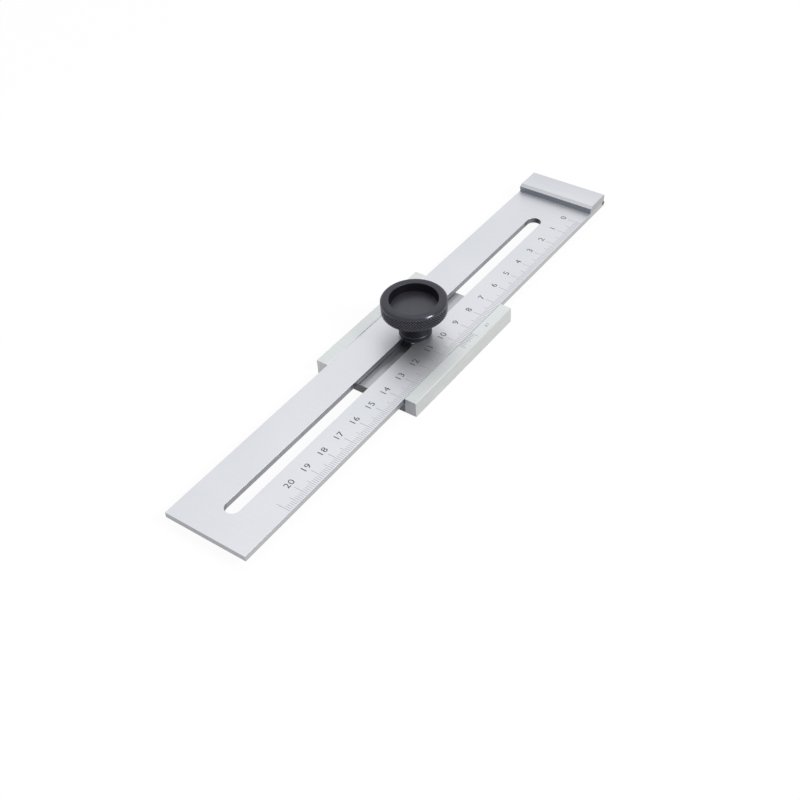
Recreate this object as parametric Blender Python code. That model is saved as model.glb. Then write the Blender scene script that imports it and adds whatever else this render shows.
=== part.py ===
"""Sliding marking gauge of the steel-rule kind, 200 mm, with a cupped knurled knob.

A flat slotted rule carries a raised head at one end, with a small scribing tip
let into its corner. A channel-shaped slide runs along the rule and is
drawn up against its underside by a thumb screw that passes through the slot.

Metres, +Z up, +X along the rule towards the head. The origin is the middle of
the gauge's overall box, at the level of the slide's underside.
"""
import math

import bmesh
import bpy
from mathutils import Matrix, Vector

# Rule
rule_length = 0.2575
rule_width = 0.0380
rule_thickness = 0.0026
rule_edge_break = 0.00025
slot_width = 0.0065
slot_plain_margin = 0.0121
slot_head_margin = 0.0290
slot_arc_steps = 40

# Head, fixed on top of the rule's end
head_length = 0.0133
head_thickness = 0.0031
head_inner_drop = 0.0007
head_inner_slope = 0.0017
head_outer_chamfer = 0.0004
head_screw_inset = 0.0081

# Screws that hold the head from under the rule
screw_shank_radius = 0.0015
screw_head_radius = 0.0028
screw_cone_height = 0.0013
screw_sunk = 0.0001
screw_reach_in_head = 0.0020
screw_end_chamfer = 0.0003
screw_fit = 0.0002
screw_steps = 32

# Scribing tip, let into the rule's upper corner under the head, on the scale side
tip_length = 0.0026
tip_width = 0.0022
tip_height = 0.0015
tip_reach = 0.0005
tip_rake = 0.0008
tip_fit = 0.0002

# Slide, a channel under and beside the rule
slide_length = 0.0704
slide_floor = 0.0041
flange_wall = 0.0053
flange_rise = 0.0002
slide_edge_break = 0.0003
side_clearance = 0.0003
floor_clearance = 0.0003
slide_front_from_end = 0.0921

# Clamp screw: a stud fixed in the knob and screwed into the slide's floor
stud_radius = 0.0030
stud_end_chamfer = 0.0005
stud_end_lift = 0.0004
stud_depth_in_knob = 0.0090
stud_seat = 0.0002
thread_fit = 0.0003
mouth_chamfer = 0.0004
stud_steps = 40

# Washer between the rule and the knob
seat_gap = 0.0002
washer_radius = 0.0062
washer_thickness = 0.0006
washer_bore_radius = 0.0033
washer_edge_break = 0.0001
washer_steps = 64

# Knob: neck, knurled band and cup
knob_radius = 0.0138
knob_height = 0.0176
band_height = 0.0070
band_chamfer = 0.0004
rim_chamfer = 0.0009
knurl_depth = 0.0003
knurl_teeth = 84
knurl_rows = 12
rim_width = 0.0036
cup_depth = 0.0044
cup_lip = 0.0003
cup_fillet = 0.0003
neck_radius = 0.0068
base_radius = 0.0069
base_height = 0.0007
base_chamfer = 0.0003
flare_height = 0.0012
under_fillet = 0.0008
fillet_steps = 3

# Tolerances of the mesh work, and the overrun of every cutter
merge_distance = 0.000002
level_tolerance = 0.00002
overrun = 0.0020

# Levels and places that follow from the sizes above
rule_bottom = slide_floor + floor_clearance
rule_top = rule_bottom + rule_thickness
head_bottom = rule_top + seat_gap
head_top = head_bottom + head_thickness
washer_bottom = rule_top + seat_gap
washer_top = washer_bottom + washer_thickness
knob_bottom = washer_top + seat_gap
knob_top = knob_bottom + knob_height
half_reach = (rule_length + tip_reach) / 2
plain_end_x = -half_reach
head_end_x = plain_end_x + rule_length
tip_bottom = rule_top - tip_height
slot_plain_x = plain_end_x + slot_plain_margin
slot_head_x = head_end_x - slot_head_margin
head_middle_x = head_end_x - head_length / 2
head_screw_y = rule_width / 2 - head_screw_inset
slide_x = head_end_x - slide_front_from_end - slide_length / 2
channel_half_width = rule_width / 2 + side_clearance
flange_top = rule_top + flange_rise
slide_half_width = channel_half_width + flange_wall
cup_radius = knob_radius - rim_width
screw_place_signs = {"left": 1, "right": -1}

# Colour, metallic value and roughness of each finish
finishes = {
    "satin_steel": ((0.62, 0.63, 0.65), 1.0, 0.32),
    "ground_steel": ((0.66, 0.67, 0.69), 1.0, 0.26),
    "carbide": ((0.16, 0.16, 0.17), 1.0, 0.38),
    "screw_steel": ((0.50, 0.51, 0.53), 1.0, 0.30),
    "black_anodised": ((0.012, 0.012, 0.015), 0.6, 0.36),
    "blackened_steel": ((0.020, 0.020, 0.022), 0.8, 0.42),
}
smooth_angle = math.radians(35)


def clear_scene():
    for thing in list(bpy.data.objects):
        bpy.data.objects.remove(thing, do_unlink=True)


def finish_material(name):
    """One Principled material for each finish, made once."""
    material = bpy.data.materials.get(name)
    if material is None:
        colour, metallic, roughness = finishes[name]
        material = bpy.data.materials.new(name)
        material.use_nodes = True
        shader = material.node_tree.nodes["Principled BSDF"]
        shader.inputs["Base Color"].default_value = (*colour, 1.0)
        shader.inputs["Metallic"].default_value = metallic
        shader.inputs["Roughness"].default_value = roughness
    return material


def make_object(name, bm, finish=None, smooth=False):
    """Turn a finished bmesh into an object in the scene."""
    bmesh.ops.recalc_face_normals(bm, faces=bm.faces)
    mesh = bpy.data.meshes.new(name)
    bm.to_mesh(mesh)
    bm.free()
    if smooth:
        mesh.shade_smooth()
        mesh.set_sharp_from_angle(angle=smooth_angle)
    thing = bpy.data.objects.new(name, mesh)
    bpy.context.scene.collection.objects.link(thing)
    if finish:
        mesh.materials.append(finish_material(finish))
    return thing


def make_axis(name, place, parent=None):
    """An empty that stands for a body's own axis."""
    axis = bpy.data.objects.new(name, None)
    axis.location = place
    axis.parent = parent
    bpy.context.scene.collection.objects.link(axis)
    return axis


def cut(target, cutter):
    """Take the cutter's shape out of the target."""
    cutter.hide_render = True
    cutter.display_type = 'WIRE'
    boolean = target.modifiers.new(cutter.name, 'BOOLEAN')
    boolean.operation = 'DIFFERENCE'
    boolean.object = cutter


def block(low, high):
    """A box between two corners, as a bmesh."""
    low = Vector(low)
    high = Vector(high)
    size = high - low
    bm = bmesh.new()
    place = Matrix.Translation((low + high) / 2) @ Matrix.Diagonal((*size, 1))
    bmesh.ops.create_cube(bm, size=1, matrix=place)
    return bm


def extruded(outline, direction):
    """A prism: a closed outline of points, swept along a vector."""
    bm = bmesh.new()
    face = bm.faces.new([bm.verts.new(point) for point in outline])
    swept = bmesh.ops.extrude_face_region(bm, geom=[face])
    moved = [item for item in swept["geom"] if isinstance(item, bmesh.types.BMVert)]
    bmesh.ops.translate(bm, verts=moved, vec=direction)
    bmesh.ops.recalc_face_normals(bm, faces=bm.faces)
    return bm


def break_edges(bm, width, chosen):
    """Chamfer the edges that the test picks."""
    edges = [edge for edge in bm.edges if chosen(edge)]
    bmesh.ops.bevel(bm, geom=edges, offset=width, offset_type='OFFSET', segments=1, profile=0.5,
                    affect='EDGES', clamp_overlap=True, material=-1)


def turned(profile, steps):
    """A turned solid about Z from (radius, height) points, first and last on the axis or joined."""
    bm = bmesh.new()
    verts = [bm.verts.new((radius, 0, height)) for radius, height in profile]
    edges = [bm.edges.new(pair) for pair in zip(verts, verts[1:])]
    if profile[0][0] > 0:
        edges.append(bm.edges.new((verts[-1], verts[0])))
    bmesh.ops.spin(bm, geom=verts + edges, cent=(0, 0, 0), axis=(0, 0, 1), angle=math.tau,
                   steps=steps, use_merge=True)
    bmesh.ops.remove_doubles(bm, verts=bm.verts, dist=merge_distance)
    return bm


def arc(centre_radius, centre_height, radius, start, end, steps):
    """Points of a round stretch of a turned profile, angles in degrees from +radius."""
    points = []
    for step in range(steps + 1):
        angle = math.radians(start + (end - start) * step / steps)
        across = centre_radius + radius * math.cos(angle)
        points.append((across, centre_height + radius * math.sin(angle)))
    return points


def slot_outline(radius, height):
    """The slot's outline at a height: two straight walls and two half circles."""
    points = []
    for centre_x, start in ((slot_head_x - radius, -90), (slot_plain_x + radius, 90)):
        for step in range(slot_arc_steps // 2 + 1):
            angle = math.radians(start + 360 * step / slot_arc_steps)
            points.append((centre_x + radius * math.cos(angle), radius * math.sin(angle), height))
    return points


def make_rule():
    """The flat rule with its slot, the tip's corner seat and two countersunk holes."""
    bm = block((plain_end_x, -rule_width / 2, rule_bottom), (head_end_x, rule_width / 2, rule_top))
    break_edges(bm, rule_edge_break, lambda edge: True)
    rule = make_object("scale_rule", bm, "satin_steel")

    outline = slot_outline(slot_width / 2, rule_bottom - overrun)
    slot = extruded(outline, (0, 0, rule_thickness + 2 * overrun))
    cut(rule, make_object("slot_cutter", slot))

    seat = block(
        (head_end_x + tip_reach - tip_length - tip_fit, -rule_width / 2 - overrun, tip_bottom - tip_fit),
        (head_end_x + overrun, -rule_width / 2 + tip_width + tip_fit, rule_top + overrun))
    cut(rule, make_object("tip_seat_cutter", seat))

    for side, sign in screw_place_signs.items():
        hole = make_object("rule_hole_cutter_" + side, turned(countersink_profile(), screw_steps))
        hole.location = (head_middle_x, sign * head_screw_y, 0)
        cut(rule, hole)
    return rule


def countersink_profile():
    """The hole that a countersunk screw sits in, right through the rule."""
    mouth = screw_head_radius + screw_fit
    shank = screw_shank_radius + screw_fit
    cone_bottom = rule_bottom + screw_sunk
    cone_top = cone_bottom + screw_cone_height
    return [
        (0, rule_bottom - overrun),
        (mouth, rule_bottom - overrun),
        (mouth, cone_bottom),
        (shank, cone_top),
        (shank, rule_top + overrun),
        (0, rule_top + overrun),
    ]


def make_head():
    """The raised block: a chamfered section drawn across the rule's width, with two blind holes."""
    inner_x = head_end_x - head_length
    outline = [
        (inner_x, -rule_width / 2, head_bottom),
        (inner_x, -rule_width / 2, head_top - head_inner_drop),
        (inner_x + head_inner_slope, -rule_width / 2, head_top),
        (head_end_x - head_outer_chamfer, -rule_width / 2, head_top),
        (head_end_x, -rule_width / 2, head_top - head_outer_chamfer),
        (head_end_x, -rule_width / 2, head_bottom),
    ]
    head = make_object("marking_head", extruded(outline, (0, rule_width, 0)), "ground_steel")
    radius = screw_shank_radius + screw_fit
    depth = head_bottom + screw_reach_in_head + screw_fit
    for side, sign in screw_place_signs.items():
        profile = [(0, head_bottom - overrun), (radius, head_bottom - overrun), (radius, depth), (0, depth)]
        hole = make_object("head_hole_cutter_" + side, turned(profile, screw_steps))
        hole.location = (head_middle_x, sign * head_screw_y, 0)
        cut(head, hole)
    return head


def make_head_screws():
    """Two countersunk screws, driven up through the rule into the head."""
    low = rule_bottom + screw_sunk
    top = head_bottom + screw_reach_in_head
    profile = [
        (0, low),
        (screw_head_radius, low),
        (screw_shank_radius, low + screw_cone_height),
        (screw_shank_radius, top - screw_end_chamfer),
        (screw_shank_radius - screw_end_chamfer, top),
        (0, top),
    ]
    screws = []
    for side, sign in screw_place_signs.items():
        screw = make_object("head_screw_" + side, turned(profile, screw_steps), "screw_steel", smooth=True)
        screw.location = (head_middle_x, sign * head_screw_y, 0)
        screws.append(screw)
    return screws


def make_tip():
    """The hard scribing tip, its nose raked back towards the head."""
    back_x = head_end_x + tip_reach - tip_length
    nose_x = head_end_x + tip_reach
    side_y = -rule_width / 2
    outline = [
        (back_x, side_y, tip_bottom),
        (nose_x, side_y, tip_bottom),
        (nose_x - tip_rake, side_y, rule_top),
        (back_x, side_y, rule_top),
    ]
    return make_object("scribing_tip", extruded(outline, (0, tip_width, 0)), "carbide")


def make_slide():
    """The channel that carries the rule: floor, two flanges and the screw's tapped hole."""
    back_x = -slide_length / 2
    wide = slide_half_width
    outline = [
        (back_x, -wide, 0),
        (back_x, wide, 0),
        (back_x, wide, flange_top),
        (back_x, channel_half_width, flange_top),
        (back_x, channel_half_width, slide_floor),
        (back_x, -channel_half_width, slide_floor),
        (back_x, -channel_half_width, flange_top),
        (back_x, -wide, flange_top),
    ]
    bm = extruded(outline, (slide_length, 0, 0))

    def outer(edge):
        return all(abs(abs(vert.co.y) - wide) < level_tolerance for vert in edge.verts)

    break_edges(bm, slide_edge_break, outer)
    slide = make_object("slide_body", bm, "satin_steel")
    slide.location = (slide_x, 0, 0)

    radius = stud_radius + thread_fit
    profile = [
        (0, -overrun),
        (radius + mouth_chamfer + overrun, -overrun),
        (radius, mouth_chamfer),
        (radius, slide_floor + overrun),
        (0, slide_floor + overrun),
    ]
    hole = make_object("slide_hole_cutter", turned(profile, stud_steps))
    hole.location = (slide_x, 0, 0)
    cut(slide, hole)
    return slide


def make_washer(axis):
    """The thin blackened washer under the knob's base."""
    inner = washer_bore_radius
    profile = [
        (inner, washer_bottom),
        (washer_radius - washer_edge_break, washer_bottom),
        (washer_radius, washer_bottom + washer_edge_break),
        (washer_radius, washer_top - washer_edge_break),
        (washer_radius - washer_edge_break, washer_top),
        (inner, washer_top),
    ]
    washer = make_object("thrust_washer", turned(profile, washer_steps), "blackened_steel", smooth=True)
    washer.parent = axis
    return washer


def make_stud(axis):
    """The clamp stud: its thread is left plain here, at the thread's outer radius."""
    low = stud_end_lift
    top = knob_bottom + stud_depth_in_knob
    profile = [
        (0, low),
        (stud_radius - stud_end_chamfer, low),
        (stud_radius, low + stud_end_chamfer),
        (stud_radius, top - stud_end_chamfer),
        (stud_radius - stud_end_chamfer, top),
        (0, top),
    ]
    stud = make_object("clamp_stud", turned(profile, stud_steps), "screw_steel", smooth=True)
    stud.parent = axis
    return stud


def knob_profile():
    """The knob's section, from its blind bore round the outside to the cup's floor."""
    bore = stud_radius + stud_seat
    bore_top = knob_bottom + stud_depth_in_knob + stud_seat
    band_bottom = knob_top - band_height
    floor = knob_top - cup_depth
    flare_bottom = knob_bottom + base_height
    flare = base_radius - neck_radius
    points = [
        (0, bore_top),
        (bore, bore_top),
        (bore, knob_bottom),
        (base_radius - base_chamfer, knob_bottom),
        (base_radius, knob_bottom + base_chamfer),
        (base_radius, flare_bottom),
    ]
    for step in range(1, fillet_steps + 1):
        turn = step / fillet_steps * math.pi / 2
        height = flare_bottom + flare_height * (1 - math.cos(turn))
        points.append((base_radius - flare * math.sin(turn), height))
    points += arc(neck_radius + under_fillet, band_bottom - under_fillet, under_fillet, 180, 90, fillet_steps)
    points.append((knob_radius - knurl_depth - band_chamfer, band_bottom))
    for row in range(knurl_rows + 1):
        points.append((knob_radius, knurl_row_height(row)))
    points += [
        (knob_radius - rim_chamfer, knob_top),
        (cup_radius + cup_lip, knob_top),
        (cup_radius, knob_top - cup_lip),
    ]
    points += arc(cup_radius - cup_fillet, floor + cup_fillet, cup_fillet, 0, -90, fillet_steps)
    points.append((0, floor))
    return points


def knurl_row_height(row):
    """Height of one row of groove crossings, spread evenly over the band between its chamfers."""
    low = knob_top - band_height + band_chamfer
    high = knob_top - rim_chamfer
    return low + (high - low) * row / knurl_rows


def knurl(bm):
    """Press a diamond knurl into the band.

    Two families of spiral grooves cross at every second point of the band's
    grid. Those points go down to the groove's depth, the points between them
    stay up as the diamonds' crests, and an edge along each groove joins them.
    """
    row_pitch = knurl_row_height(1) - knurl_row_height(0)
    crossings = []
    for vert in bm.verts:
        if abs(math.hypot(vert.co.x, vert.co.y) - knob_radius) > level_tolerance:
            continue
        row = round((vert.co.z - knurl_row_height(0)) / row_pitch)
        column = round(math.atan2(vert.co.y, vert.co.x) / (math.pi / knurl_teeth))
        if (row + column) % 2 == 0:
            crossings.append(vert)
    for vert in crossings:
        shrink = (knob_radius - knurl_depth) / knob_radius
        vert.co.x *= shrink
        vert.co.y *= shrink
    bmesh.ops.connect_verts(bm, verts=crossings)


def make_knob(axis):
    """The cupped knob on its flared neck, with the knurled band."""
    bm = turned(knob_profile(), 2 * knurl_teeth)
    knurl(bm)
    knob = make_object("knurled_knob", bm, "black_anodised", smooth=True)
    knob.parent = axis
    return knob


def build():
    clear_scene()
    make_rule()
    make_head()
    make_head_screws()
    make_tip()
    make_slide()
    slide_axis = make_axis("slide_axis", (slide_x, 0, 0))
    knob_axis = make_axis("knob_axis", (0, 0, 0), slide_axis)
    make_washer(slide_axis)
    make_stud(knob_axis)
    make_knob(knob_axis)


build()
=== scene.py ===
"""Looks of the marking gauge: satin chromed rule and slide, black knurled knob.

Metres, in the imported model's own frame: +X along the rule towards the head,
-Y the scale's edge, +Z up from the underside of the slide.
"""
import math

import bmesh
import bpy
from mathutils import Matrix, Vector


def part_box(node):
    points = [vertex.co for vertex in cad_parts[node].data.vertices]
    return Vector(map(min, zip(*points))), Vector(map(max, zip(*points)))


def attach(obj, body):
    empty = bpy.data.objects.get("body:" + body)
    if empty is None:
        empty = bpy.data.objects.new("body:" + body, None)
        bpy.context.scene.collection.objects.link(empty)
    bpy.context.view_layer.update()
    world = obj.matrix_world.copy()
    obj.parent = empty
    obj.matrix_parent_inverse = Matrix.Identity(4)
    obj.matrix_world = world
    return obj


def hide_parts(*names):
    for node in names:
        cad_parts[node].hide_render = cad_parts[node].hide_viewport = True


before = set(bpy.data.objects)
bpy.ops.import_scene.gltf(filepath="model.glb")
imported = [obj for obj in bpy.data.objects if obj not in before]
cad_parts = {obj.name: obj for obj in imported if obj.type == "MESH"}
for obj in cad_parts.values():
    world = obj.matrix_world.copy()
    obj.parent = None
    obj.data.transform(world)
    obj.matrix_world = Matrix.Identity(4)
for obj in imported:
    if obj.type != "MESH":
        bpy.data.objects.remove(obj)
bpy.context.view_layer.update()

MM = 0.001
HAIR = MM / 100  # closer than this counts as the same place
WELD = 0.0005 * MM  # closer than this, two points of a mesh become one
OVERRUN = 1.0 * MM  # how far a cutter passes what it cuts

# Sizes that the pieces share, read off the CAD nodes
RULE_LOW, RULE_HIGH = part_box("scale_rule")
HEAD_LOW, HEAD_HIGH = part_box("marking_head")
SLIDE_LOW, SLIDE_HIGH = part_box("slide_body")
KNOB_LOW, KNOB_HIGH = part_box("knurled_knob")
WASHER_LOW, WASHER_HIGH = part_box("thrust_washer")
STUD_LOW, STUD_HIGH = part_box("clamp_stud")
TIP_LOW, TIP_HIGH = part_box("scribing_tip")
RULE_TOP = RULE_HIGH.z
CLAMP_X = (KNOB_LOW.x + KNOB_HIGH.x) / 2

# Slot of the rule: how far it stays from the two ends, and the middles of its round ends
SLOT_RADIUS = 3.25 * MM
SLOT_HEAD_MARGIN = 29.0 * MM
SLOT_PLAIN_MARGIN = 12.1 * MM
SLOT_HEAD_X = RULE_HIGH.x - SLOT_HEAD_MARGIN - SLOT_RADIUS
SLOT_PLAIN_X = RULE_LOW.x + SLOT_PLAIN_MARGIN + SLOT_RADIUS
SLOT_STEPS = 40
# The slot's walls over this stretch are painted darker as shade
SLOT_SHADE = 2.6 * MM  # the darker stretch of straight wall before the head's round end

# Scale: zero of the marks, from the head's outer end
SCALE_ZERO = 22.5 * MM
SCALE_LENGTH_MM = 210
SCALE_EDGE = 0.3 * MM  # bare strip between the rule's edge and the lines
# Millimetres between lines of a kind, their length and their width
SCALE_LINES = ((10, 6.5 * MM, 0.17 * MM), (5, 4.6 * MM, 0.15 * MM), (1, 3.1 * MM, 0.14 * MM))
NUMERAL_SHIFT = 0.25 * MM
NUMERAL_INSET = 9.1 * MM
NUMERAL_SIZE = 3.9 * MM
NUMERAL_STRETCH = 1.16
NUMERAL_SPACING = 1.05
# Marks are thin plates, let into the surface and standing a trace above it
MARK_DEPTH = 0.03 * MM
MARK_STAND = 0.008 * MM

# Clearance beside and under the rule, and the stud's hole in the slide and the washer
CHANNEL_GAP = 0.3 * MM
FLOOR_GAP = 0.3 * MM
STUD_HOLE = 3.3 * MM

# Vernier on the slide's flange
VERNIER_ZERO = 23.0 * MM
VERNIER_STEP = 0.9 * MM
VERNIER_DIVISIONS = 10
VERNIER_LENGTHS = {0: 3.4 * MM, 5: 2.8 * MM, 10: 3.4 * MM}
VERNIER_SHORT = 2.2 * MM
VERNIER_WIDTH = 0.14 * MM
VERNIER_EDGE = 0.05 * MM
VERNIER_LABEL_AT = (SLIDE_HIGH.x - 15.0 * MM, -22.0 * MM)
VERNIER_LABEL_SIZE = 1.7 * MM
VERNIER_LABEL_STRETCH = 1.1

# Sides of small, middling and large turned pieces
SCREW_SIDES, HOLE_SIDES, WASHER_SIDES = 48, 64, 96

# Knob
KNOB_RADIUS = (KNOB_HIGH.x - KNOB_LOW.x) / 2
# The real knurl is about 84 diamonds round: drawn a little coarser, so that it shows
KNURL_TEETH = 70
KNURL_ROWS = 9
KNURL_DEPTH = 0.5 * MM
CUP_DEPTH = 4.4 * MM
FOOT_HEIGHT = 1.9 * MM
FOOT_GROOVE = 0.2 * MM

# Camera, from a fit to the scale's numbers and the gauge's corners
CAMERA_AT = (-0.30825, -0.23226, 0.32477)
CAMERA_AZIMUTH, CAMERA_ELEVATION, CAMERA_ROLL = 38.129, 42.482, 3.984  # degrees
CAMERA_LENS_MM = 54.307

# Softboxes: direction, distance in metres, width in degrees, brightness of the face
SOFTBOXES = {
    "key_softbox": ((0.016, -0.7475, 0.661), 1.2, 14, 24.0),
    "top_softbox": ((0.259, 0, 0.966), 1.2, 24, 2.2),
}
FILL_STRENGTH = 0.75  # the white sky's light on matt surfaces


# Small tools

def srgb(hex_code):
    """A colour written as sRGB hex, turned to linear values for a shader."""
    channels = []
    for start in (1, 3, 5):
        value = int(hex_code[start:start + 2], 16) / 255
        if value <= 0.04045:
            channels.append(value / 12.92)
        else:
            channels.append(((value + 0.055) / 1.055) ** 2.4)
    return (*channels, 1.0)


def add_node(tree, kind, inputs=None, **settings):
    """Add a shader node: settings are its own, and inputs are values or other nodes' outputs."""
    made = tree.nodes.new(kind)
    for name, value in settings.items():
        setattr(made, name, value)
    for key, value in (inputs or {}).items():
        if isinstance(value, bpy.types.NodeSocket):
            tree.links.new(value, made.inputs[key])
        else:
            made.inputs[key].default_value = value
    return made


def new_material(name):
    """An empty node material with its output, and the tree to fill."""
    material = bpy.data.materials.new(name)
    material.use_nodes = True
    tree = material.node_tree
    tree.nodes.clear()
    return material, tree, tree.nodes.new("ShaderNodeOutputMaterial")


def new_object(name, data):
    """An object in the scene that shows the data."""
    made = bpy.data.objects.new(name, data)
    bpy.context.scene.collection.objects.link(made)
    return made


def new_mesh(name, bm):
    """A mesh with what the bmesh holds, which is then let go."""
    mesh = bpy.data.meshes.new(name)
    bm.to_mesh(mesh)
    bm.free()
    return mesh


def make_piece(name, bm, materials, body, smooth_degrees=30, replaced=()):
    """Finish a mesh as a piece of the gauge that rides on a body."""
    bmesh.ops.remove_doubles(bm, verts=bm.verts, dist=WELD)
    bmesh.ops.recalc_face_normals(bm, faces=bm.faces)
    mesh = new_mesh(name, bm)
    for material in materials:
        mesh.materials.append(material)
    mesh.shade_smooth()
    mesh.set_sharp_from_angle(angle=math.radians(smooth_degrees))
    piece = new_object(name, mesh)
    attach(piece, body)
    if replaced:
        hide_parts(*replaced)


def join_mesh(bm, mesh):
    """Add a mesh's faces to a bmesh, and remove the mesh."""
    bm.from_mesh(mesh)
    bpy.data.meshes.remove(mesh)


def carve(bm, cutter):
    """Take one closed mesh out of another with an exact Boolean, and return the result."""
    objects = []
    for part in (bm, cutter):
        bmesh.ops.recalc_face_normals(part, faces=part.faces)
        objects.append(new_object("carving", new_mesh("carving", part)))
    target, tool = objects
    boolean = target.modifiers.new("carve", 'BOOLEAN')
    boolean.operation = 'DIFFERENCE'
    boolean.solver = 'EXACT'
    boolean.object = tool
    result = bmesh.new()
    result.from_object(target, bpy.context.evaluated_depsgraph_get())
    for thing in objects:
        mesh = thing.data
        bpy.data.objects.remove(thing, do_unlink=True)
        bpy.data.meshes.remove(mesh)
    return result


def block(low, high):
    """A box between two corners."""
    bm = bmesh.new()
    low = Vector(low)
    high = Vector(high)
    place = Matrix.Translation((low + high) / 2) @ Matrix.Diagonal((*(high - low), 1))
    bmesh.ops.create_cube(bm, size=1, matrix=place)
    return bm


def swept(points, travel):
    """A solid swept out by a closed outline along a straight way."""
    bm = bmesh.new()
    face = bm.faces.new([bm.verts.new(point) for point in points])
    made = bmesh.ops.extrude_face_region(bm, geom=[face])
    moved = [item for item in made["geom"] if isinstance(item, bmesh.types.BMVert)]
    bmesh.ops.translate(bm, verts=moved, vec=travel)
    bmesh.ops.recalc_face_normals(bm, faces=bm.faces)
    return bm


def loop(bm, points):
    """A closed loop of edges through the points."""
    verts = [bm.verts.new(point) for point in points]
    return [bm.edges.new((a, b)) for a, b in zip(verts, verts[1:] + verts[:1])]


def turned(profile, steps, centre=(0, 0)):
    """A turned solid about Z from (radius, height) points; a profile off the axis is joined."""
    bm = bmesh.new()
    verts = [bm.verts.new((radius, 0, height)) for radius, height in profile]
    edges = [bm.edges.new(pair) for pair in zip(verts, verts[1:])]
    if profile[0][0] > 0:
        edges.append(bm.edges.new((verts[-1], verts[0])))
    bmesh.ops.spin(bm, geom=verts + edges, cent=(0, 0, 0), axis=(0, 0, 1), angle=math.tau,
                   steps=steps, use_merge=True)
    bmesh.ops.remove_doubles(bm, verts=bm.verts, dist=2 * WELD)
    bmesh.ops.translate(bm, verts=bm.verts, vec=(*centre, 0))
    return bm


def arc(centre_radius, centre_height, radius, start, end, steps):
    """Points of a round stretch of a turned profile, in degrees from +radius."""
    points = []
    for step in range(steps + 1):
        angle = math.radians(start + (end - start) * step / steps)
        points.append((centre_radius + radius * math.cos(angle),
                       centre_height + radius * math.sin(angle)))
    return points


def bevel(bm, edges, width, segments=1):
    """Break the edges flat, or round them in several segments."""
    bmesh.ops.bevel(bm, geom=edges, offset=width, offset_type='OFFSET', segments=segments,
                    profile=0.5, affect='EDGES', material=-1)


def paint_faces(bm, finishes, finish, chosen):
    """Give one of the finishes to the faces that a test of their normal and middle picks."""
    index = finishes.index(finish)
    for face in bm.faces:
        if chosen(face.normal, face.calc_center_median()):
            face.material_index = index


# Materials

ALONG_X, ALONG_Y, ALONG_Z = 0, 1, 2  # the way that a grain runs
GRAIN_LENGTH = 40  # a grinding line's length over its width
CLOUD = 30 * MM
INK_GRAIN = 0.3 * MM
BLACK_CLOUD = 2.5 * MM


def chromed_steel(name, roughness, grain_axis, grain_mm, tones, bump, contrast=0.06, fade=None):
    """Satin chrome over ground steel: fine parallel grinding lines under a pale matt plate."""
    material, tree, output = new_material(name)
    place = add_node(tree, "ShaderNodeTexCoord")
    # Grinding lines: fine across the grain, long along it
    scale = [1 / (grain_mm * MM)] * 3
    scale[grain_axis] /= GRAIN_LENGTH
    lines_at = add_node(tree, "ShaderNodeMapping", {
        "Vector": place.outputs["Object"], "Scale": scale})
    lines = add_node(tree, "ShaderNodeTexNoise", {
        "Vector": lines_at.outputs["Vector"], "Scale": 1.0, "Detail": 3.0, "Roughness": 0.6})
    # Soft clouds of the plating's tone
    clouds_at = add_node(tree, "ShaderNodeMapping", {
        "Vector": place.outputs["Object"], "Scale": (1 / CLOUD,) * 3})
    clouds = add_node(tree, "ShaderNodeTexNoise", {
        "Vector": clouds_at.outputs["Vector"], "Scale": 1.0, "Detail": 1.0})
    darker, lighter = tones
    tone = add_node(tree, "ShaderNodeMix", {
        "Factor": clouds.outputs["Fac"], "A": srgb(darker), "B": srgb(lighter)},
        data_type='RGBA')
    if fade:
        # Painted shade, darker towards the middle of the slot's end
        pale_y, dark_y, deep = fade
        parts = add_node(tree, "ShaderNodeSeparateXYZ", {"Vector": place.outputs["Object"]})
        aside = add_node(tree, "ShaderNodeMath", {0: parts.outputs["Y"]}, operation='ABSOLUTE')
        painted_end_shade = add_node(tree, "ShaderNodeMapRange", {
            "Value": aside.outputs["Value"], "From Min": pale_y, "From Max": dark_y})
        tone = add_node(tree, "ShaderNodeMix", {
            "Factor": painted_end_shade.outputs["Result"], "A": tone.outputs["Result"], "B": srgb(deep)},
            data_type='RGBA')
    grain = add_node(tree, "ShaderNodeMapRange", {
        "Value": lines.outputs["Fac"], "From Min": 0.3, "From Max": 0.7,
        "To Min": 1 - contrast, "To Max": 1 + contrast / 2})
    coloured = add_node(tree, "ShaderNodeVectorMath", {
        0: tone.outputs["Result"], "Scale": grain.outputs["Result"]}, operation='SCALE')
    rough = add_node(tree, "ShaderNodeMapRange", {
        "Value": lines.outputs["Fac"], "From Min": 0.3, "From Max": 0.7,
        "To Min": roughness + 0.04, "To Max": roughness - 0.04})
    relief = add_node(tree, "ShaderNodeBump", {
        "Height": lines.outputs["Fac"], "Strength": bump, "Distance": 0.02 * MM})
    shader = add_node(tree, "ShaderNodeBsdfPrincipled", {
        "Base Color": coloured.outputs["Vector"], "Metallic": 1.0,
        "Roughness": rough.outputs["Result"], "Normal": relief.outputs["Normal"]})
    tree.links.new(shader.outputs["BSDF"], output.inputs["Surface"])
    return material


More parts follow.
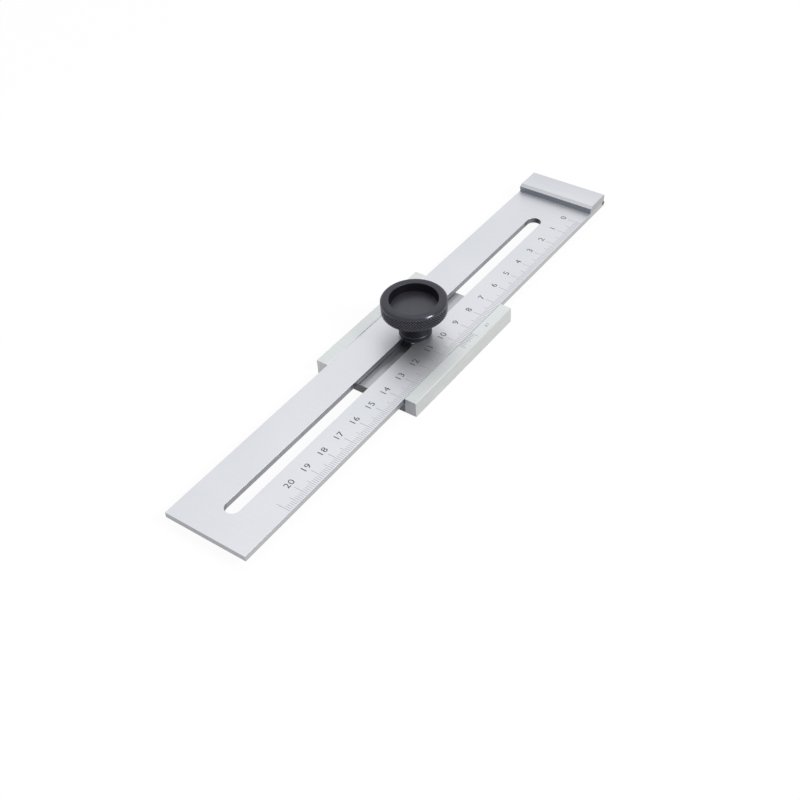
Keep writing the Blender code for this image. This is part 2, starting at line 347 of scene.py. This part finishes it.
def black_finish(name, colour, lighter, roughness, ring_mm, bump, gloss=0.5, fade=None):
    """Black anodising on a turned piece: near black, half gloss, with fine turning rings."""
    material, tree, output = new_material(name)
    place = add_node(tree, "ShaderNodeTexCoord")
    centred = add_node(tree, "ShaderNodeMapping", {
        "Vector": place.outputs["Object"], "Location": (-CLAMP_X, 0.0, 0.0)})
    parts = add_node(tree, "ShaderNodeSeparateXYZ", {"Vector": centred.outputs["Vector"]})
    flat = add_node(tree, "ShaderNodeCombineXYZ", {
        "X": parts.outputs["X"], "Y": parts.outputs["Y"], "Z": 0.0})
    radius = add_node(tree, "ShaderNodeVectorMath", {
        0: flat.outputs["Vector"]}, operation='LENGTH')
    # One turn of the tool is one ring: the noise reads radius and height only
    rings_at = add_node(tree, "ShaderNodeCombineXYZ", {
        "X": radius.outputs["Value"], "Y": 0.0, "Z": parts.outputs["Z"]})
    rings = add_node(tree, "ShaderNodeTexNoise", {
        "Vector": rings_at.outputs["Vector"], "Scale": 1 / (ring_mm * MM), "Detail": 2.0})
    cloud = add_node(tree, "ShaderNodeTexNoise", {
        "Vector": place.outputs["Object"], "Scale": 1 / BLACK_CLOUD, "Detail": 3.0})
    tone = add_node(tree, "ShaderNodeMix", {
        "Factor": cloud.outputs["Fac"], "A": srgb(colour), "B": srgb(lighter)},
        data_type='RGBA')
    if fade:
        # Paler at the first radius, a painted highlight on the crests, and black from the second
        # inwards, painted shade in the grooves
        highlight_at, groove_shade_at, deep = fade
        depth = add_node(tree, "ShaderNodeMapRange", {
            "Value": radius.outputs["Value"], "From Min": highlight_at, "From Max": groove_shade_at})
        tone = add_node(tree, "ShaderNodeMix", {
            "Factor": depth.outputs["Result"], "A": tone.outputs["Result"], "B": srgb(deep)},
            data_type='RGBA')
    rough = add_node(tree, "ShaderNodeMapRange", {
        "Value": rings.outputs["Fac"], "To Min": roughness - 0.05, "To Max": roughness + 0.07})
    relief = add_node(tree, "ShaderNodeBump", {
        "Height": rings.outputs["Fac"], "Strength": bump, "Distance": 0.03 * MM})
    shader = add_node(tree, "ShaderNodeBsdfPrincipled", {
        "Base Color": tone.outputs["Result"], "Metallic": 0.0,
        "Roughness": rough.outputs["Result"], "Specular IOR Level": gloss,
        "Specular Tint": srgb("#eaeaff"), "Normal": relief.outputs["Normal"]})
    tree.links.new(shader.outputs["BSDF"], output.inputs["Surface"])
    return material


def mark_ink(name, colour, worn):
    """Black etch in the scale's marks: matt, slightly uneven."""
    material, tree, output = new_material(name)
    place = add_node(tree, "ShaderNodeTexCoord")
    grain = add_node(tree, "ShaderNodeTexNoise", {
        "Vector": place.outputs["Object"], "Scale": 1 / INK_GRAIN, "Detail": 2.0})
    tone = add_node(tree, "ShaderNodeMix", {
        "Factor": grain.outputs["Fac"], "A": srgb(colour), "B": srgb(worn)}, data_type='RGBA')
    shader = add_node(tree, "ShaderNodeBsdfPrincipled", {
        "Base Color": tone.outputs["Result"], "Roughness": 0.6})
    tree.links.new(shader.outputs["BSDF"], output.inputs["Surface"])
    return material


# Satin chrome: roughness, the grain's way, its width in mm, the two tones, bump, contrast
satin_top = chromed_steel(
    "satin_chrome_ground", 0.48, ALONG_Y, 0.35, ("#d0d3d8", "#dadbdf"), 0.12, 0.03)
head_top = chromed_steel(
    "satin_chrome_head", 0.50, ALONG_Y, 0.35, ("#c9ccd1", "#d3d4d8"), 0.12, 0.03)
slide_top = chromed_steel(
    "satin_chrome_slide", 0.58, ALONG_Y, 0.35, ("#cdd2d3", "#d7dadb"), 0.12, 0.03)
# The sides are the tops' plating: their darker tones, set by which way a face looks, are painted
# shade; their grain along the rule is their own
satin_side = chromed_steel(
    "satin_chrome_edge", 0.42, ALONG_X, 0.30, ("#b2b4b7", "#bdbec0"), 0.2)
slide_side = chromed_steel(
    "satin_chrome_slide_side", 0.42, ALONG_X, 0.30, ("#c5c7c7", "#cfd0d0"), 0.2)
head_side = chromed_steel(
    "chromed_head_side", 0.42, ALONG_X, 0.30, ("#a6a8ab", "#b1b2b3"), 0.2)
channel_floor = chromed_steel(
    "chromed_channel_floor", 0.33, ALONG_X, 0.4, ("#b2b4b8", "#bec0c4"), 0.15)
# The head's inner slope and upright inner face have darker tones painted as shade, the inner
# face the darkest
head_slope = chromed_steel(
    "chromed_head_slope", 0.42, ALONG_Y, 0.3, ("#b2b4b8", "#bdbfc2"), 0.3)
shoulder = chromed_steel(
    "chromed_shoulder", 0.45, ALONG_Y, 0.3, ("#787c83", "#898e94"), 0.3)

# Milled ends, with upright cutter marks of their own; their darker tones are painted shade, the
# floor's end under the rule the darkest, and the far flange's ends are painted paler as light
slide_end = chromed_steel(
    "chromed_milled_slide_end", 0.5, ALONG_Z, 0.5, ("#9c9ea2", "#acaeb1"), 0.6)
far_end = chromed_steel(
    "chromed_milled_far_end_painted_light", 0.5, ALONG_Z, 0.5, ("#b4b6b9", "#c4c6c8"), 0.6)
floor_end = chromed_steel(
    "chromed_floor_end_painted_shade", 0.5, ALONG_Z, 0.5, ("#646669", "#6e7073"), 0.6)
milled_end = chromed_steel(
    "chromed_milled_end", 0.5, ALONG_Z, 0.5, ("#9b9da2", "#b8babe"), 0.6)
# The slot's walls are painted darker as shade, deeper over the stretch before the head's round
# end and towards the middle of each round end
slot_wall = chromed_steel(
    "chromed_slot_wall", 0.36, ALONG_Z, 1.1, ("#9c9ea4", "#b2b4b8"), 0.3, 0.16)
slot_shade = chromed_steel(
    "chromed_slot_shade", 0.36, ALONG_Z, 1.1, ("#6c6e74", "#7e8086"), 0.3, 0.1)
slot_end = chromed_steel(
    "chromed_slot_end", 0.36, ALONG_Z, 1.1, ("#8a8c92", "#9c9ea4"), 0.3, 0.1,
    (0.95 * SLOT_RADIUS, 0.2 * SLOT_RADIUS, "#404247"))

# Bare turned steel and ground carbide
screw_steel = chromed_steel(
    "turned_screw_steel", 0.32, ALONG_Z, 0.2, ("#b4b6ba", "#c8cacd"), 0.2)
hard_tip = chromed_steel(
    "sintered_carbide", 0.4, ALONG_Y, 0.1, ("#5e5a5c", "#757173"), 0.2)

# Black anodising: the two tones, roughness, a turning ring in mm, bump, gloss
knob_black = black_finish("black_anodised_turned", "#202026", "#2a2a30", 0.36, 0.35, 0.3)
# Painted shade: the neck, the band's underside and the cup's wall are set darker, as shade under
# the band and in the cup
neck_black = black_finish("black_anodised_painted_shade", "#111115", "#18181d", 0.40, 0.35, 0.3, 0.15)
# Knurl: its pale crests are painted highlight and its black grooves painted shade
knurl_black = black_finish(
    "black_anodised_knurled", "#3e3e45", "#4e4e55", 0.25, 0.35, 0.0, 0.62,
    (KNOB_RADIUS - 0.05 * MM, KNOB_RADIUS - 0.9 * KNURL_DEPTH, "#040406"))
edge_black = black_finish(
    "black_anodised_rubbed_edge", "#19191e", "#222228", 0.17, 0.35, 0.0, 0.56)
cup_black = black_finish("black_anodised_cup", "#1e1e23", "#2b2b30", 0.34, 0.5, 0.3, 0.9)
# Blackened steel
washer_black = black_finish("blackened_washer", "#26262b", "#303036", 0.45, 0.3, 0.2)

# Black etching: the finest lines are drawn greyer, as they are narrower than a pixel
etched_black = mark_ink("etched_black", "#2c2d32", "#4a4b50")
etched_fine = mark_ink("etched_fine_lines", "#727379", "#929398")


# Rule

def slot_points(radius, height):
    """The slot's outline at a height: straight walls and two half circles."""
    points = []
    for centre_x, start, before in ((SLOT_HEAD_X, -90, SLOT_SHADE),
                                    (SLOT_PLAIN_X, 90, -SLOT_SHADE)):
        points.append((centre_x - before, -math.copysign(radius, before), height))
        for step in range(SLOT_STEPS + 1):
            angle = math.radians(start + 180 * step / SLOT_STEPS)
            points.append((centre_x + radius * math.cos(angle),
                           radius * math.sin(angle), height))
        points.append((centre_x - before, math.copysign(radius, before), height))
    return points


def plate_points(inset, height):
    """The rule's outer corners, drawn in by an inset."""
    low_x, low_y = RULE_LOW.x + inset, RULE_LOW.y + inset
    high_x, high_y = RULE_HIGH.x - inset, RULE_HIGH.y - inset
    return [(low_x, low_y, height), (high_x, low_y, height),
            (high_x, high_y, height), (low_x, high_y, height)]


def screw_sink(node):
    """The cutter for a screw's countersunk seat in the rule's underside."""
    gap, lip, depth = 0.1 * MM, 0.12 * MM, 1.3 * MM
    screw_low, screw_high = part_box(node)
    centre = (screw_low + screw_high) / 2
    mouth = (screw_high.x - screw_low.x) / 2 + gap
    low = RULE_LOW.z
    return turned([(0, low - OVERRUN), (mouth + lip, low - OVERRUN), (mouth + lip, low),
                   (mouth, low + lip), (mouth - depth, low + lip + depth),
                   (0, low + lip + depth)], SCREW_SIDES, (centre.x, centre.y))


def make_rule():
    """The slotted rule with small chamfers on its edges and round the slot."""
    foot, edge, rim = 0.12 * MM, 0.04 * MM, 0.06 * MM
    tip_gap = 0.05 * MM
    low, high = RULE_LOW.z, RULE_TOP
    bm = bmesh.new()
    outer = [loop(bm, plate_points(inset, height)) for inset, height in (
        (foot, low), (0, low + foot), (0, high - edge), (edge, high))]
    inner = [loop(bm, slot_points(SLOT_RADIUS + flare, height)) for flare, height in (
        (rim, low), (0, low + rim), (0, high - rim), (rim, high))]
    for loops in (outer, inner):
        for lower, upper in zip(loops, loops[1:]):
            bmesh.ops.bridge_loops(bm, edges=lower + upper)
    for level in (0, -1):
        bmesh.ops.triangle_fill(bm, edges=outer[level] + inner[level], use_beauty=True)
    bm = carve(bm, block(
        (TIP_LOW.x - tip_gap, TIP_LOW.y - OVERRUN, TIP_LOW.z - tip_gap),
        (TIP_HIGH.x + OVERRUN, TIP_HIGH.y + tip_gap, RULE_TOP + OVERRUN)))
    for node in ("head_screw_left", "head_screw_right"):
        bm = carve(bm, screw_sink(node))

    def in_slot(normal, middle):
        return (abs(normal.z) < 0.3 and abs(middle.y) < 1.2 * SLOT_RADIUS
                and RULE_LOW.x + MM < middle.x < HEAD_LOW.x)

    finishes = [satin_top, satin_side, milled_end, slot_wall, slot_end, slot_shade]
    # Tones painted as shade by which way a face looks: sides, ends and slot walls darker, deeper
    # before the head's round end and at the round ends
    paint_faces(bm, finishes, satin_side, lambda normal, middle:
                abs(normal.z) < 0.5 and abs(middle.y) > RULE_HIGH.y / 2)
    paint_faces(bm, finishes, milled_end, lambda normal, middle: abs(normal.x) > 0.9)
    paint_faces(bm, finishes, slot_wall, in_slot)
    paint_faces(bm, finishes, slot_shade, lambda normal, middle:
                in_slot(normal, middle) and middle.x > SLOT_HEAD_X - SLOT_SHADE)
    paint_faces(bm, finishes, slot_end, lambda normal, middle:
                in_slot(normal, middle) and not SLOT_PLAIN_X < middle.x < SLOT_HEAD_X)
    make_piece("rule_plate", bm, finishes, "rule", replaced=["scale_rule"])


def mark(bm, centre_x, low_y, high_y, width, level):
    """One etched line across the rule, as a thin plate let into the surface."""
    plate = block((centre_x - width / 2, low_y, level - MARK_DEPTH),
                  (centre_x + width / 2, high_y, level + MARK_STAND))
    join_mesh(bm, new_mesh("mark", plate))


def make_scale_marks():
    """A line at every millimetre from 0 to 210, longer at 5 and 10."""
    bm = bmesh.new()
    for step in range(SCALE_LENGTH_MM + 1):
        length, width = next(line[1:] for line in SCALE_LINES if step % line[0] == 0)
        mark(bm, HEAD_HIGH.x - SCALE_ZERO - step * MM, RULE_LOW.y + SCALE_EDGE,
             RULE_LOW.y + length, width, RULE_TOP)
    make_piece("scale_marks", bm, [etched_fine], "rule")


def numeral_mesh(text, size, stretch):
    """A number as a thin solid plate, centred on the origin, read from -Y."""
    curve = bpy.data.curves.new("numeral", 'FONT')
    curve.body = text
    curve.size = size
    curve.align_x = 'CENTER'
    curve.align_y = 'CENTER'
    curve.space_character = NUMERAL_SPACING
    curve.resolution_u = 3
    curve.extrude = (MARK_DEPTH + MARK_STAND) / 2
    thing = new_object("numeral", curve)
    solid = thing.evaluated_get(bpy.context.evaluated_depsgraph_get())
    mesh = bpy.data.meshes.new_from_object(solid)
    bpy.data.objects.remove(thing, do_unlink=True)
    bpy.data.curves.remove(curve)
    mesh.transform(Matrix.Diagonal((stretch, 1, 1, 1)))
    return mesh


def add_numeral(bm, text, size, stretch, centre_x, centre_y, level):
    """Put one number into a mesh, with its middle at a place on the surface."""
    mesh = numeral_mesh(text, size, stretch)
    across = [vert.co.x for vert in mesh.vertices]
    upward = [vert.co.y for vert in mesh.vertices]
    mesh.transform(Matrix.Translation((
        centre_x - (min(across) + max(across)) / 2,
        centre_y - (min(upward) + max(upward)) / 2,
        level + (MARK_STAND - MARK_DEPTH) / 2)))
    join_mesh(bm, mesh)


def make_numerals():
    """Centimetre numbers 0 to 20 above their lines."""
    bm = bmesh.new()
    for number in range(SCALE_LENGTH_MM // 10):
        add_numeral(bm, str(number), NUMERAL_SIZE, NUMERAL_STRETCH,
                    HEAD_HIGH.x - SCALE_ZERO + NUMERAL_SHIFT - number * 10 * MM,
                    RULE_LOW.y + NUMERAL_INSET, RULE_TOP)
    make_piece("scale_numerals", bm, [etched_black], "rule")


# Head, screws and tip

def make_head():
    """The raised head on the rule, with chamfers along its inner and outer upper edges."""
    drop, slope, outer, side, corner = 0.7 * MM, 1.7 * MM, 0.4 * MM, 0.15 * MM, 0.6 * MM
    low_x, high_x, top = HEAD_LOW.x, HEAD_HIGH.x, HEAD_HIGH.z
    section = [(low_x, RULE_TOP), (low_x, top - drop), (low_x + slope, top),
               (high_x - outer, top), (high_x, top - outer), (high_x, RULE_TOP)]
    bm = swept([(x, HEAD_LOW.y, z) for x, z in section], (0, HEAD_HIGH.y - HEAD_LOW.y, 0))
    ends = [edge for edge in bm.edges
            if abs(edge.verts[0].co.y - edge.verts[1].co.y) < HAIR
            and min(vert.co.z for vert in edge.verts) > RULE_TOP + HAIR]
    bevel(bm, ends, side)
    bmesh.ops.recalc_face_normals(bm, faces=bm.faces)
    # The upright corners are rounded: the inner one by the scale takes the inner face's painted
    # shade
    uprights = [edge for edge in bm.edges
                if abs(edge.verts[0].co.z - edge.verts[1].co.z) > MM
                and (edge.verts[0].co.xy - edge.verts[1].co.xy).length < HAIR]
    bevel(bm, uprights, corner, 3)
    bm.normal_update()
    finishes = [head_top, head_side, shoulder, milled_end, head_slope]
    # Tones painted as shade by which way a face looks: sides, the dark inner face, the outer end
    # and the slope
    paint_faces(bm, finishes, head_side, lambda normal, middle: abs(normal.y) > 0.6)
    paint_faces(bm, finishes, shoulder, lambda normal, middle:
                normal.x < -0.25 and abs(normal.z) < 0.3)
    paint_faces(bm, finishes, milled_end, lambda normal, middle: normal.x > 0.9)
    paint_faces(bm, finishes, head_slope, lambda normal, middle:
                normal.x < -0.2 and normal.z > 0.6)
    make_piece("head_block", bm, finishes, "rule", replaced=["marking_head"])


def make_screw(node):
    """A countersunk socket screw, seen from under the rule."""
    edge, rim, shank = 0.15 * MM, 0.1 * MM, 1.5 * MM
    socket_radius, socket_height, socket_turn = 1.15 * MM, 2.2 * MM, math.radians(15)
    low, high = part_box(node)
    centre = (low + high) / 2
    head = (high.x - low.x) / 2
    profile = [(0, low.z), (head - edge, low.z), (head, low.z + rim),
               (shank, low.z + rim + head - shank), (shank, high.z), (0, high.z)]
    bm = turned(profile, SCREW_SIDES, (centre.x, centre.y))
    socket = bmesh.new()
    place = Matrix.Translation((centre.x, centre.y, low.z)) @ Matrix.Rotation(
        socket_turn, 4, 'Z')
    bmesh.ops.create_cone(socket, cap_ends=True, segments=6, radius1=socket_radius,
                          radius2=socket_radius, depth=socket_height, matrix=place)
    make_piece(node.replace("head_", "") + "_socket", carve(bm, socket), [screw_steel],
               "rule", replaced=[node])


def make_tip():
    """The hard scribing tip in its seat at the corner."""
    rake = 0.8 * MM
    outline = [(TIP_LOW.x, TIP_LOW.z), (TIP_HIGH.x, TIP_LOW.z),
               (TIP_HIGH.x - rake, TIP_HIGH.z), (TIP_LOW.x, TIP_HIGH.z)]
    bm = swept([(x, TIP_LOW.y, z) for x, z in outline], (0, TIP_HIGH.y - TIP_LOW.y, 0))
    make_piece("carbide_tip", bm, [hard_tip], "rule", replaced=["scribing_tip"])


# Slide

def make_slide():
    """The channel: floor, two flanges, broken outer edges, milled ends and the stud's hole."""
    edge, foot, ease, end_break = 0.25 * MM, 0.08 * MM, 0.2 * MM, 0.1 * MM
    sink_mouth, sink_depth = 4.7 * MM, 0.4 * MM
    # The far flange stands close against the rule, and the scale's side shows a dark gap
    far_wall, scale_wall = RULE_HIGH.y + HAIR, RULE_LOW.y - CHANNEL_GAP
    floor = RULE_LOW.z - FLOOR_GAP
    low, high = SLIDE_LOW, SLIDE_HIGH
    section = [(low.y + foot, 0), (high.y - foot, 0), (high.y, foot), (high.y, high.z - edge),
               (high.y - edge, high.z), (far_wall + ease, high.z), (far_wall, high.z - ease),
               (far_wall, floor), (scale_wall, floor), (scale_wall, high.z),
               (low.y + edge, high.z), (low.y, high.z - edge), (low.y, foot)]
    bm = swept([(low.x, y, z) for y, z in section], (high.x - low.x, 0, 0))
    bevel(bm, [rim for rim in bm.edges
               if abs(rim.verts[0].co.x - rim.verts[1].co.x) < HAIR], end_break)
    bm = carve(bm, turned([(0, -OVERRUN), (sink_mouth, -OVERRUN), (STUD_HOLE, sink_depth),
                           (STUD_HOLE, floor + OVERRUN), (0, floor + OVERRUN)],
                          HOLE_SIDES, (CLAMP_X, 0)))
    # The ends are split at the channel's walls, because their parts get their own painted shade
    # and light
    for wall in (far_wall, scale_wall):
        bmesh.ops.bisect_plane(bm, geom=bm.verts[:] + bm.edges[:] + bm.faces[:],
                               dist=MM / 1000, plane_co=(0, wall, 0), plane_no=(0, 1, 0))

    def on_end(normal, middle):
        return abs(normal.x) > 0.9 and abs(middle.x - CLAMP_X) > (high.x - low.x) / 4

    finishes = [slide_top, slide_side, slide_end, channel_floor, floor_end, far_end]
    # Tones painted by which way a face looks: sides and ends darker as shade, the floor's end
    # under the rule darkest, the far flange's ends paler as painted light
    paint_faces(bm, finishes, slide_side, lambda normal, middle:
                abs(normal.y) > 0.6 and abs(middle.y) > RULE_HIGH.y + MM)
    paint_faces(bm, finishes, slide_end, on_end)
    paint_faces(bm, finishes, channel_floor, lambda normal, middle:
                abs(middle.y) < RULE_HIGH.y and MM < middle.z < floor + HAIR
                and abs(normal.x) < 0.9)
    paint_faces(bm, finishes, floor_end, lambda normal, middle:
                on_end(normal, middle) and abs(middle.y) < RULE_HIGH.y)
    paint_faces(bm, finishes, far_end, lambda normal, middle:
                abs(normal.x) > 0.9 and middle.y > RULE_HIGH.y)
    make_piece("slide_channel", bm, finishes, "slide", replaced=["slide_body"])


def make_vernier():
    """Eleven lines, 0.9 mm apart, on the flange beside the scale, and the number 0.1."""
    bm = bmesh.new()
    edge_y = RULE_LOW.y - CHANNEL_GAP
    for step in range(VERNIER_DIVISIONS + 1):
        mark(bm, SLIDE_HIGH.x - VERNIER_ZERO - step * VERNIER_STEP,
             edge_y - VERNIER_LENGTHS.get(step, VERNIER_SHORT), edge_y - VERNIER_EDGE,
             VERNIER_WIDTH, SLIDE_HIGH.z)
    add_numeral(bm, "0.1", VERNIER_LABEL_SIZE, VERNIER_LABEL_STRETCH, *VERNIER_LABEL_AT,
                SLIDE_HIGH.z)
    make_piece("vernier_marks", bm, [etched_black], "slide")


# Clamp screw

def make_washer():
    """The thin washer between the rule and the knob's base."""
    edge, gap = 0.1 * MM, 0.02 * MM
    outer = (WASHER_HIGH.x - WASHER_LOW.x) / 2
    low, high = RULE_TOP + gap, KNOB_LOW.z - gap
    profile = [(STUD_HOLE, low), (outer - edge, low), (outer, low + edge),
               (outer, high - edge), (outer - edge, high), (STUD_HOLE, high)]
    bm = turned(profile, WASHER_SIDES, (CLAMP_X, 0))
    make_piece("base_washer", bm, [washer_black], "washer",
               replaced=["thrust_washer"])


def make_stud():
    """The stud with its M6 thread: a 1 mm pitch helix raised on a closed cylinder."""
    pitch, depth, outer = 1.0 * MM, 0.61 * MM, 3.0 * MM
    # The flanks reach their full depth early and start late: flat roots and crests
    steepness, crest = 1.25, 0.12
    rows_per_pitch = 8
    low, high = STUD_LOW.z, STUD_HIGH.z
    rows = round((high - low) / pitch * rows_per_pitch)
    side = [(outer, low + (high - low) * row / rows) for row in range(rows + 1)]
    bm = turned([(0, low)] + side + [(0, high)], SCREW_SIDES)
    for vert in bm.verts:
        radius = math.hypot(vert.co.x, vert.co.y)
        if radius < outer / 2:
            continue
        turn = (vert.co.z - low) / pitch - math.atan2(vert.co.y, vert.co.x) / math.tau
        groove = 1 - abs(2 * (turn % 1.0) - 1)
        new_radius = outer - depth * min(1.0, max(0.0, steepness * groove - crest))
        # Both ends are chamfered to the thread's root
        end = min(vert.co.z - low, high - vert.co.z)
        new_radius = min(new_radius, outer - depth + end)
        vert.co.x *= new_radius / radius
        vert.co.y *= new_radius / radius
    bmesh.ops.translate(bm, verts=bm.verts, vec=(CLAMP_X, 0, 0))
    make_piece("threaded_stud", bm, [screw_steel], "knob", smooth_degrees=50,
               replaced=["clamp_stud"])


def make_knob():
    """The turned knob: foot, neck, diamond-knurled band, and a plain cup in its top."""
    top, bottom, outer = KNOB_HIGH.z, KNOB_LOW.z, KNOB_RADIUS
    band, under_chamfer, rim_bevel, rim_round = 7.0 * MM, 0.4 * MM, 0.75 * MM, 0.6 * MM
    cup, cup_lip, fillet = outer - 3.6 * MM, 0.3 * MM, 0.5 * MM
    foot, foot_edge, neck, neck_round = 6.9 * MM, 0.3 * MM, 6.8 * MM, 0.8 * MM
    bore, bore_depth = 3.05 * MM, 9.1 * MM
    foot_top, cup_floor, band_low = bottom + FOOT_HEIGHT, top - CUP_DEPTH, top - band
    run_out = rim_round * math.tan(math.radians(22.5))
    low_row, high_row = band_low + under_chamfer, top - rim_bevel - run_out
    rows = [low_row + (high_row - low_row) * row / KNURL_ROWS for row in range(KNURL_ROWS + 1)]
    profile = [(0, bottom + bore_depth), (bore, bottom + bore_depth), (bore, bottom),
               (foot - foot_edge, bottom), (foot, bottom + foot_edge), (foot, foot_top),
               (foot - FOOT_GROOVE, foot_top + FOOT_GROOVE),
               (foot - FOOT_GROOVE, foot_top + 1.5 * FOOT_GROOVE),
               (neck, foot_top + 2.5 * FOOT_GROOVE)]
    profile += arc(neck + neck_round, band_low - neck_round, neck_round, 180, 90, 6)
    profile.append((outer - KNURL_DEPTH - under_chamfer, band_low))
    profile += [(outer, height) for height in rows]
    profile += arc(outer - rim_round, high_row, rim_round, 0, 45, 4)[1:]
    profile += arc(outer - rim_bevel - run_out, top - rim_round, rim_round, 45, 90, 4)
    profile.append((cup + cup_lip, top))
    profile += arc(cup + cup_lip, top - cup_lip, cup_lip, 90, 180, 4)[1:]
    profile += arc(cup - fillet, cup_floor + fillet, fillet, 0, -90, 6)
    profile.append((0, cup_floor))
    bm = turned(profile, 2 * KNURL_TEETH)
    # The knurl: every second crossing of the band's grid is pushed in, and joined by grooves,
    # and the whole of the lowest row, where the grooves run out
    crossings = []
    for vert in bm.verts:
        if abs(math.hypot(vert.co.x, vert.co.y) - outer) > HAIR:
            continue
        row = round((vert.co.z - low_row) / (rows[1] - rows[0]))
        column = round(math.atan2(vert.co.y, vert.co.x) / (math.pi / KNURL_TEETH))
        if row == 0 or (row + column) % 2 == 0 and row < KNURL_ROWS:
            crossings.append(vert)
    for vert in crossings:
        vert.co.x *= (outer - KNURL_DEPTH) / outer
        vert.co.y *= (outer - KNURL_DEPTH) / outer
    bmesh.ops.connect_verts(bm, verts=crossings)

    def off_axis(middle):
        return math.hypot(middle.x, middle.y)

    finishes = [knob_black, knurl_black, edge_black, cup_black, neck_black]
    # The knurl's material paints its crests paler as highlight and its grooves black as shade
    paint_faces(bm, finishes, knurl_black, lambda normal, middle:
                off_axis(middle) > outer - KNURL_DEPTH - 0.1 * MM
                and low_row - HAIR < middle.z < high_row + HAIR)
    paint_faces(bm, finishes, edge_black, lambda normal, middle:
                off_axis(middle) > cup + MM and high_row - HAIR < middle.z < top - HAIR)
    paint_faces(bm, finishes, cup_black, lambda normal, middle:
                off_axis(middle) < cup + HAIR and middle.z > cup_floor - HAIR)
    # The cup's wall, and all below the knurl but the groove above the foot, are painted the
    # darkest, as shade in the cup and under the band
    paint_faces(bm, finishes, neck_black, lambda normal, middle:
                middle.z < low_row - 2 * HAIR or off_axis(middle) < cup + HAIR
                and cup_floor + HAIR < middle.z < top - cup_lip / 1.5)
    paint_faces(bm, finishes, knob_black, lambda normal, middle:
                off_axis(middle) > neck - FOOT_GROOVE and 0 < middle.z - foot_top < FOOT_GROOVE)
    bmesh.ops.translate(bm, verts=bm.verts, vec=(CLAMP_X, 0, 0))
    make_piece("cupped_knob", bm, finishes, "knob", smooth_degrees=25,
               replaced=["knurled_knob"])


# Studio

def make_camera():
    """The photograph's view."""
    azimuth, elevation, roll = map(math.radians, (
        CAMERA_AZIMUTH, CAMERA_ELEVATION, CAMERA_ROLL))
    forward = Vector((math.cos(azimuth) * math.cos(elevation),
                      math.sin(azimuth) * math.cos(elevation), -math.sin(elevation)))
    right = Vector((math.sin(azimuth), -math.cos(azimuth), 0))
    down = forward.cross(right)
    rolled_right = right * math.cos(roll) + down * math.sin(roll)
    rolled_down = down * math.cos(roll) - right * math.sin(roll)
    data = bpy.data.cameras.new("camera")
    data.sensor_width = 36.0
    data.lens = CAMERA_LENS_MM
    data.clip_start = 0.01
    data.clip_end = 10.0
    camera = new_object("camera", data)
    camera.matrix_world = Matrix.Translation(CAMERA_AT) @ Matrix(
        (rolled_right, -rolled_down, -forward)).transposed().to_4x4()
    bpy.context.scene.camera = camera


def seen_as_white(tree):
    """Shares for the camera's rays, and for glossy and transmission rays, which see white."""
    path = add_node(tree, "ShaderNodeLightPath")
    mirrored = add_node(tree, "ShaderNodeMath", {
        0: path.outputs["Is Glossy Ray"], 1: path.outputs["Is Transmission Ray"]},
        operation='MAXIMUM')
    return path.outputs["Is Camera Ray"], mirrored.outputs["Value"]


def make_floor():
    """A wide white table at the level of the slide's underside."""
    glow_direct, glow_mirrored = 0.93, 0.5
    half_width, drop = 2.5, 0.02 * MM
    material, tree, output = new_material("white_table")
    plain = add_node(tree, "ShaderNodeBsdfDiffuse", {"Color": srgb("#f7f7f7")})
    glow = add_node(tree, "ShaderNodeEmission", {"Color": (1, 1, 1, 1), "Strength": 1.0})
    # The rest of each share is the lit floor, which carries the gauge's soft shadow
    direct, mirrored = seen_as_white(tree)
    own = add_node(tree, "ShaderNodeMath", {0: direct, 1: glow_direct}, operation='MULTIPLY')
    share = add_node(tree, "ShaderNodeMath", {
        0: mirrored, 1: glow_mirrored, 2: own.outputs["Value"]}, operation='MULTIPLY_ADD')
    mixed = add_node(tree, "ShaderNodeMixShader", {
        0: share.outputs["Value"], 1: plain.outputs["BSDF"], 2: glow.outputs["Emission"]})
    tree.links.new(mixed.outputs["Shader"], output.inputs["Surface"])
    bm = bmesh.new()
    bmesh.ops.create_grid(bm, x_segments=1, y_segments=1, size=half_width)
    mesh = new_mesh("table", bm)
    mesh.materials.append(material)
    table = new_object("table", mesh)
    table.location = (0, 0, -drop)


def make_world():
    """White sky to the eye and in reflections, a softer fill for the rest."""
    world = bpy.data.worlds.new("studio")
    world.use_nodes = True
    tree = world.node_tree
    tree.nodes.clear()
    output = tree.nodes.new("ShaderNodeOutputWorld")
    direct, mirrored = seen_as_white(tree)
    seen = add_node(tree, "ShaderNodeMath", {0: direct, 1: mirrored}, operation='MAXIMUM')
    strength = add_node(tree, "ShaderNodeMapRange", {
        "Value": seen.outputs["Value"], "To Min": FILL_STRENGTH, "To Max": 1.0})
    sky = add_node(tree, "ShaderNodeBackground", {
        "Color": (1, 1, 1, 1), "Strength": strength.outputs["Result"]})
    tree.links.new(sky.outputs["Background"], output.inputs["Surface"])
    bpy.context.scene.world = world


def make_softbox(name, direction, distance, width_degrees, brightness):
    """A square softbox that faces the gauge, as wide as it looks from there."""
    data = bpy.data.lights.new(name, 'AREA')
    data.shape = 'SQUARE'
    data.size = 2 * distance * math.tan(math.radians(width_degrees) / 2)
    data.energy = brightness * math.pi * data.size ** 2
    lamp = new_object(name, data)
    toward = Vector(direction).normalized()
    lamp.location = toward * distance
    lamp.rotation_mode = 'QUATERNION'
    lamp.rotation_quaternion = toward.to_track_quat('Z', 'Y')


make_rule()
make_scale_marks()
make_numerals()
make_head()
make_screw("head_screw_left")
make_screw("head_screw_right")
make_tip()
make_slide()
make_vernier()
make_washer()
make_stud()
make_knob()
make_camera()
make_floor()
make_world()
for softbox, settings in SOFTBOXES.items():
    make_softbox(softbox, *settings)

bpy.context.scene.view_settings.view_transform = 'Standard'
